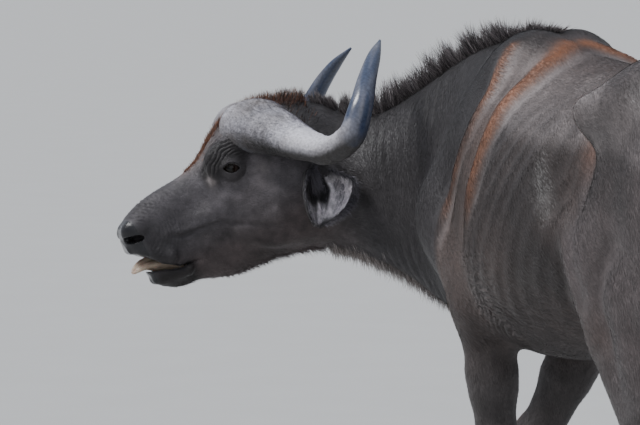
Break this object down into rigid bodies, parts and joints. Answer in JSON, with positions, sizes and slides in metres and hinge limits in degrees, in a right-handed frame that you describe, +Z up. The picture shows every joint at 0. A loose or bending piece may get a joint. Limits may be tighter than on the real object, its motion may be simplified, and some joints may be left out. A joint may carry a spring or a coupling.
{
  "type": "african buffalo",
  "caption": "Life-size still model of a young adult African buffalo cow, standing with the neck bent to its left and the mouth open to browse.",
  "frame": {"origin": "centre of the bounding box in plan, at the level of the hooves' soles", "axes": "+X forward along the trunk, +Y to the animal's left, +Z up; the neck and head turn towards +Y"},
  "size_m": [2.2466, 1.2896, 1.4015],
  "materials": {
    "hide": "dark grey-brown skin under short sparse hair, rust on the ridges",
    "horn": "grey ridged keratin at the base, dark and smooth to the tips",
    "claw": "dark worn hoof horn",
    "eye": "wet, almost black",
    "tongue": "moist pale pink-beige"
  },
  "bodies": {
    "root": {"torso": "hide", "neck": "hide", "foreleg_left": "hide", "claw_foreleg_left_outer": "claw", "dewclaw_foreleg_left_outer": "claw", "claw_foreleg_left_inner": "claw", "dewclaw_foreleg_left_inner": "claw", "foreleg_right": "hide", "claw_foreleg_right_inner": "claw", "dewclaw_foreleg_right_inner": "claw", "claw_foreleg_right_outer": "claw", "dewclaw_foreleg_right_outer": "claw", "hindleg_left": "hide", "claw_hindleg_left_outer": "claw", "dewclaw_hindleg_left_outer": "claw", "claw_hindleg_left_inner": "claw", "dewclaw_hindleg_left_inner": "claw", "hindleg_right": "hide", "claw_hindleg_right_inner": "claw", "dewclaw_hindleg_right_inner": "claw", "claw_hindleg_right_outer": "claw", "dewclaw_hindleg_right_outer": "claw", "head": "hide", "horn_left": "horn", "horn_right": "horn", "eye_left": "eye", "ear_left": "hide", "eye_right": "eye", "ear_right": "hide", "tongue": "tongue", "tail": "hide", "tail_tuft": "hide"}
  },
  "joints": []
}
